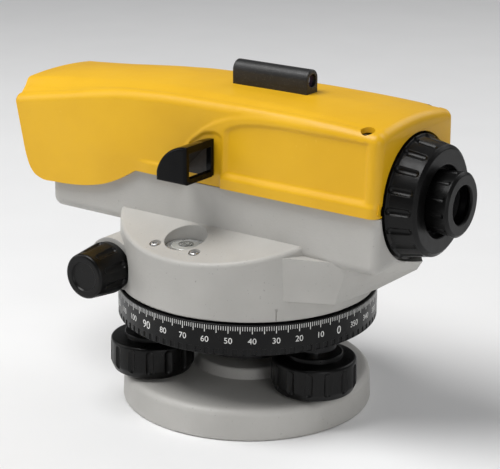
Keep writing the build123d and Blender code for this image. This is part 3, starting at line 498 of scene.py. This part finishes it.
# ---------------------------------------------------------------- materials
class Look:
    """A principled material whose noise nodes use the object's own frame, in metres."""

    def __init__(self, name):
        self.material = bpy.data.materials.new(name)
        self.material.use_nodes = True
        self.nodes = self.material.node_tree.nodes
        self.links = self.material.node_tree.links
        self.shader = self.nodes["Principled BSDF"]
        self.place = self.nodes.new("ShaderNodeTexCoord").outputs["Object"]

    def value(self, **sockets):
        for name, value in sockets.items():
            self.shader.inputs[name.replace("_", " ")].default_value = value

    def noise(self, size_mm, detail=3.0, rough=0.5):
        node = self.nodes.new("ShaderNodeTexNoise")
        node.inputs["Scale"].default_value = 1000.0 / size_mm
        node.inputs["Detail"].default_value = detail
        node.inputs["Roughness"].default_value = rough
        self.links.new(self.place, node.inputs["Vector"])
        return node.outputs["Fac"]

    def cells(self, size_mm):
        node = self.nodes.new("ShaderNodeTexVoronoi")
        node.inputs["Scale"].default_value = 1000.0 / size_mm
        self.links.new(self.place, node.inputs["Vector"])
        return node.outputs["Distance"]

    def remap(self, source, low, high, to_low, to_high):
        node = self.nodes.new("ShaderNodeMapRange")
        limits = {"From Min": low, "From Max": high, "To Min": to_low, "To Max": to_high}
        for name, value in limits.items():
            node.inputs[name].default_value = value
        self.links.new(source, node.inputs["Value"])
        return node.outputs["Result"]

    def blend(self, factor, first, second):
        node = self.nodes.new("ShaderNodeMix")
        node.data_type = "RGBA"
        self.links.new(factor, node.inputs["Factor"])
        for socket, colour in ((node.inputs["A"], first), (node.inputs["B"], second)):
            if isinstance(colour, tuple):
                socket.default_value = (*colour, 1.0)
            else:
                self.links.new(colour, socket)
        return node.outputs["Result"]

    def mottle(self, size_mm, detail, first, second, low=0.35, high=0.65):
        """Two colours mixed by noise."""
        return self.blend(self.remap(self.noise(size_mm, detail), low, high, 0, 1), first, second)

    def times(self, first, second):
        node = self.nodes.new("ShaderNodeMath")
        node.operation = "MULTIPLY"
        self.links.new(first, node.inputs[0])
        self.links.new(second, node.inputs[1])
        return node.outputs["Value"]

    def edge_mask(self, radius_mm=0.5):
        """1 on sharp edges, 0 on flat faces."""
        bevel = self.nodes.new("ShaderNodeBevel")
        bevel.samples = 4
        bevel.inputs["Radius"].default_value = radius_mm * MM
        geometry = self.nodes.new("ShaderNodeNewGeometry")
        dot = self.nodes.new("ShaderNodeVectorMath")
        dot.operation = "DOT_PRODUCT"
        self.links.new(bevel.outputs["Normal"], dot.inputs[0])
        self.links.new(geometry.outputs["Normal"], dot.inputs[1])
        return self.remap(dot.outputs["Value"], 0.985, 0.85, 0.0, 1.0)

    def relief(self, height, depth_mm, round_mm=0.0):
        """Bump of the given depth, on edges softened by a small radius."""
        bump = self.nodes.new("ShaderNodeBump")
        bump.inputs["Distance"].default_value = depth_mm * MM
        self.links.new(height, bump.inputs["Height"])
        if round_mm:
            bevel = self.nodes.new("ShaderNodeBevel")
            bevel.samples = 4
            bevel.inputs["Radius"].default_value = round_mm * MM
            self.links.new(bevel.outputs["Normal"], bump.inputs["Normal"])
        self.links.new(bump.outputs["Normal"], self.shader.inputs["Normal"])

    def colour(self, source):
        self.links.new(source, self.shader.inputs["Base Color"])

    def roughness(self, source):
        self.links.new(source, self.shader.inputs["Roughness"])


def yellow_coat():
    look = Look("yellow_coat")
    shade = look.mottle(45, 4, (0.690, 0.378, 0.006), (0.755, 0.428, 0.010))
    dust = look.remap(look.noise(1.6, 2), 0.70, 0.78, 0.0, 0.35)
    look.colour(look.blend(dust, shade, (0.84, 0.53, 0.06)))
    look.roughness(look.remap(look.noise(9, 3), 0.3, 0.7, 0.36, 0.46))
    look.relief(look.noise(0.55, 2, 0.6), 0.035)
    look.value(Specular_IOR_Level=0.34, Coat_Weight=0.03, Coat_Roughness=0.25)
    return look.material


def grey_casting(name, low, high):
    look = Look(name)
    shade = look.mottle(30, 4, low, high)
    specks = look.remap(look.noise(1.1, 1), 0.72, 0.80, 0.0, 0.5)
    look.colour(look.blend(specks, shade, (0.20, 0.19, 0.18)))
    look.roughness(look.remap(look.noise(6, 3), 0.3, 0.7, 0.44, 0.56))
    look.relief(look.noise(1.15, 2, 0.55), 0.10, 0.5)
    look.value(Specular_IOR_Level=0.45)
    return look.material


def black_rubber():
    look = Look("black_rubber")
    base = look.mottle(12, 3, (0.0015, 0.0015, 0.0015), (0.003, 0.0029, 0.0028))
    wear = look.times(look.edge_mask(0.7), look.remap(look.noise(3, 3), 0.4, 0.65, 0.0, 0.55))
    look.colour(look.blend(wear, base, (0.022, 0.021, 0.020)))
    look.roughness(look.remap(look.noise(5, 3), 0.3, 0.7, 0.27, 0.38))
    look.relief(look.noise(0.5, 2), 0.03, 0.45)
    look.value(Specular_IOR_Level=0.2)
    return look.material


def gloss_black():
    look = Look("gloss_black")
    look.colour(look.mottle(8, 3, (0.0015, 0.0015, 0.002), (0.003, 0.003, 0.003), 0.3, 0.7))
    look.roughness(look.remap(look.noise(7, 4), 0.35, 0.75, 0.12, 0.22))
    look.relief(look.noise(2.5, 2), 0.01, 0.6)
    look.value(Specular_IOR_Level=0.10)
    return look.material


def speckled_black():
    look = Look("speckled_black")
    base = look.mottle(10, 3, (0.005, 0.005, 0.0055), (0.010, 0.0095, 0.0095))
    flecks = look.remap(look.noise(0.5, 1), 0.62, 0.72, 0.0, 0.6)
    flecked = look.blend(flecks, base, (0.055, 0.054, 0.052))
    wear = look.times(look.edge_mask(0.5), look.remap(look.noise(2, 3), 0.4, 0.65, 0.0, 0.6))
    look.colour(look.blend(wear, flecked, (0.12, 0.118, 0.11)))
    look.roughness(look.remap(look.noise(0.8, 2), 0.3, 0.7, 0.30, 0.50))
    look.relief(look.cells(0.45), 0.05, 0.4)
    return look.material


def circle_black():
    look = Look("circle_black")
    base = look.mottle(14, 3, (0.0025, 0.0025, 0.003), (0.005, 0.005, 0.005))
    wear = look.times(look.edge_mask(0.5), look.remap(look.noise(4, 3), 0.4, 0.7, 0.0, 0.6))
    look.colour(look.blend(wear, base, (0.035, 0.034, 0.032)))
    look.roughness(look.remap(look.noise(4, 3), 0.3, 0.7, 0.26, 0.36))
    look.relief(look.noise(0.6, 2), 0.02, 0.35)
    look.value(Specular_IOR_Level=0.18)
    return look.material


def matte_black():
    look = Look("matte_black")
    look.colour(look.mottle(6, 3, (0.010, 0.010, 0.011), (0.022, 0.022, 0.022), 0.3, 0.7))
    look.roughness(look.remap(look.noise(3, 3), 0.3, 0.7, 0.48, 0.66))
    look.relief(look.noise(0.5, 2), 0.02)
    look.value(Specular_IOR_Level=0.25)
    return look.material


def metal(name, low, high, rough=(0.22, 0.42), scratch_mm=0.35):
    look = Look(name)
    look.colour(look.mottle(5, 4, low, high, 0.3, 0.7))
    look.roughness(look.remap(look.noise(2.5, 4), 0.3, 0.7, *rough))
    look.relief(look.noise(scratch_mm, 2), 0.008, 0.15)
    look.value(Metallic=1.0)
    return look.material


def clear_glass(name, tint):
    look = Look(name)
    look.value(Base_Color=(*tint, 1.0), Transmission_Weight=1.0, IOR=1.5)
    look.roughness(look.remap(look.noise(4, 3), 0.3, 0.8, 0.02, 0.06))
    look.relief(look.noise(6, 1), 0.002)
    return look.material


def vial_glass():
    """Clear vial, partly transmitting and very smooth; its pale grey colour is painted reflection for the
    bright silvered floor seen through it.
    """
    look = Look("vial_glass")
    # painted reflection: pale grey in the glass for the silvered floor's bright look
    look.colour(look.blend(look.noise(3, 2), (0.50, 0.51, 0.48), (0.62, 0.63, 0.59)))
    look.roughness(look.remap(look.noise(4, 3), 0.3, 0.8, 0.05, 0.10))
    look.relief(look.noise(6, 1), 0.002)
    look.value(Transmission_Weight=0.25, IOR=1.5, Coat_Weight=1.0, Coat_Roughness=0.03)
    return look.material


def coated_lens():
    look = Look("coated_lens")
    # painted sheen: the coating's reflection tint goes into the base colour by viewing angle, dark blue
    # face on and purple towards grazing
    painted_sheen_by_angle = look.nodes.new("ShaderNodeLayerWeight")
    painted_sheen_by_angle.inputs["Blend"].default_value = 0.35
    look.colour(look.blend(painted_sheen_by_angle.outputs["Facing"], (0.010, 0.014, 0.030), (0.060, 0.020, 0.075)))
    look.roughness(look.remap(look.noise(8, 3), 0.3, 0.7, 0.02, 0.06))
    look.relief(look.noise(9, 1), 0.002)
    look.value(Coat_Weight=1.0, Coat_Roughness=0.02, Specular_IOR_Level=0.7)
    return look.material


def white_mark():
    look = Look("white_mark")
    look.colour(look.mottle(1.5, 3, (0.60, 0.60, 0.58), (0.82, 0.82, 0.80), 0.35, 0.6))
    look.roughness(look.remap(look.noise(2, 2), 0.3, 0.7, 0.45, 0.6))
    look.relief(look.noise(0.3, 2), 0.01)
    return look.material


def plain_dark(name, low, high, rough):
    look = Look(name)
    look.colour(look.mottle(3, 3, low, high, 0.3, 0.7))
    look.roughness(look.remap(look.noise(2, 3), 0.3, 0.7, rough - 0.06, rough + 0.08))
    look.relief(look.noise(0.4, 2), 0.015)
    return look.material


def give(material, *names):
    """Put one material on CAD nodes or new pieces."""
    for name in names:
        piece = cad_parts.get(name) or bpy.data.objects[name]
        piece.data.materials.clear()
        piece.data.materials.append(material)


# ---------------------------------------------------------------- build the pieces
cover = make_cover()
front_wall = make_front_wall()
graduations = make_graduations()
numbers = make_numbers()
bubble_ring = make_bubble_ring()
bubble_air = make_bubble_air()
painted_shade_piece = make_hood_lining()

for piece, body, slot in (
    (cover, "alidade", "cover_yellow"),
    (front_wall, "alidade", "cover_yellow"),
    (graduations, "circle_body", "circle_black"),
    (numbers, "circle_body", "circle_black"),
    (bubble_ring, "alidade", "black_metal"),
    (bubble_air, "alidade", "glass"),
    (painted_shade_piece, "alidade", "gloss_black"),
):
    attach(piece, body)
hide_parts("top_cover")

give(yellow_coat(), "top_cover", "top_cover_shell", "cover_front_wall")
give(
    grey_casting("grey_casting", (0.405, 0.395, 0.372), (0.450, 0.440, 0.415)),
    "lower_housing",
)
give(
    grey_casting("base_casting", (0.425, 0.415, 0.392), (0.470, 0.460, 0.436)),
    "base_plate",
)
give(
    black_rubber(),
    "foot_screw_knob_a",
    "foot_screw_knob_b",
    "foot_screw_knob_c",
    "slow_motion_knob_left",
    "slow_motion_knob_right",
    "focus_ring",
    "dioptre_ring",
)
give(gloss_black(), "bubble_mirror_hood")
give(
    # painted shade: a dark brown standing in for the shaded inside of the mirror hood
    plain_dark("mirror_hood_shade_look", (0.012, 0.009, 0.006), (0.022, 0.015, 0.009), 0.5),
    "mirror_hood_painted_shade",
)
give(speckled_black(), "bar_sight")
give(circle_black(), "horizontal_circle")
give(
    matte_black(),
    "tribrach",
    "objective_cell",
    "objective_retaining_ring",
    "eyepiece_barrel",
    "eyepiece_cell",
    "reticle_holder",
)
give(
    metal("turned_steel", (0.48, 0.48, 0.49), (0.66, 0.66, 0.66)),
    "foot_screw_a",
    "foot_screw_b",
    "foot_screw_c",
    "foot_spring_plate",
    "spring_plate_screws",
    "vertical_spindle",
    "spindle_screws",
    "drive_cover_screws",
    "cover_screws",
    "bubble_adjusting_screws",
    "worm_shaft",
    "suspension_tapes",
    "focus_push_rod",
    "clutch_washer",
)
give(
    metal("turned_brass", (0.52, 0.36, 0.14), (0.70, 0.50, 0.22)),
    "tripod_thread_bush",
    "foot_screw_bushes",
    "foot_screw_bush_c",
    "bearing_sleeve",
    "clutch_nut",
    "worm_wheel",
    "worm_bushes",
    "damper_cylinder",
)
give(
    metal("turned_aluminium", (0.60, 0.61, 0.62), (0.76, 0.77, 0.78)),
    "drive_cover_plate",
    "bubble_cup",
    "focusing_lens_carrier",
    "focus_guide",
    "focus_cam_sleeve",
    "compensator_frame",
    "fixed_prism_holder",
    "pendulum",
)
give(
    clear_glass("clear_glass", (0.93, 0.96, 0.97)),
    "objective_flint_lens",
    "focusing_lens",
    "fixed_prism",
    "pendulum_prism",
    "reticle",
)
give(vial_glass(), "bubble_vial")
give(clear_glass("bubble_air_look", (0.97, 0.98, 0.97)), "bubble_air")
give(coated_lens(), "objective_crown_lens", "eyepiece_lenses", "bar_sight_lenses")
# painted reflection: the mirror is darkened and tinted brown for the dark brown it shows inside the hood
give(
    metal("mirror_painted_reflection", (0.15, 0.10, 0.055), (0.21, 0.145, 0.08), (0.02, 0.07), 2.0),
    "bubble_mirror",
)
give(
    plain_dark("gasket_rubber_look", (0.010, 0.010, 0.010), (0.02, 0.02, 0.02), 0.6),
    "cover_gasket",
)
give(
    plain_dark("ring_paint", (0.015, 0.015, 0.015), (0.03, 0.03, 0.03), 0.4),
    "bubble_target_ring",
)
give(white_mark(), "circle_graduations", "circle_numbers")


# ---------------------------------------------------------------- floor, light and camera
CENTRE = Vector((0, 0, 0.08))


def make_floor():
    size, steps = 3.0, 24
    verts, faces = [], []
    for i in range(steps + 1):
        for j in range(steps + 1):
            verts.append((-size + 2 * size * i / steps, -size + 2 * size * j / steps, cad_box[0][2]))
    for i in range(steps):
        for j in range(steps):
            a = i * (steps + 1) + j
            faces.append((a, a + steps + 1, a + steps + 2, a + 1))
    floor = new_object("studio_floor", verts, faces)
    look = Look("studio_floor_look")
    look.colour(look.blend(look.noise(60, 2), (0.80, 0.80, 0.80), (0.84, 0.84, 0.84)))
    look.value(Roughness=0.7)
    floor.data.materials.append(look.material)


def area_light(name, place, size, power):
    """A round soft light that points at the middle of the object."""
    light = bpy.data.lights.new(name, "AREA")
    light.shape = "DISK"
    light.size = size
    light.energy = power
    holder = bpy.data.objects.new(name, light)
    holder.location = place
    holder.rotation_euler = (CENTRE - Vector(place)).to_track_quat("-Z", "Y").to_euler()
    bpy.context.scene.collection.objects.link(holder)


def make_world():
    world = bpy.data.worlds.new("studio")
    world.use_nodes = True
    background = world.node_tree.nodes["Background"]
    background.inputs["Color"].default_value = (0.93, 0.94, 0.96, 1.0)
    background.inputs["Strength"].default_value = 0.20
    bpy.context.scene.world = world


def make_camera():
    camera = bpy.data.cameras.new("camera")
    camera.lens = 115.0
    camera.sensor_width = 36.0
    camera.clip_start = 0.01
    holder = bpy.data.objects.new("camera", camera)
    right = Vector((0.8173, 0.5764, 0.0089))
    back = Vector((0.5455, -0.779, 0.3085)).normalized()
    right = (right - right.dot(back) * back).normalized()
    up = back.cross(right)
    turn = Matrix((right, up, back)).transposed().to_4x4()
    holder.matrix_world = Matrix.Translation((0.3898, -0.5553, 0.2949)) @ turn
    bpy.context.scene.collection.objects.link(holder)
    bpy.context.scene.camera = holder


make_floor()
make_world()
area_light("key", (-0.30, -0.45, 1.25), 0.8, 15.5)
area_light("fill", (1.1, -0.65, 0.45), 0.7, 3.4)
area_light("left", (-1.0, -0.55, 0.55), 0.8, 3.2)
area_light("rear", (0.3, 0.95, 0.9), 0.9, 4)
make_camera()
bpy.context.scene.view_settings.view_transform = "Standard"
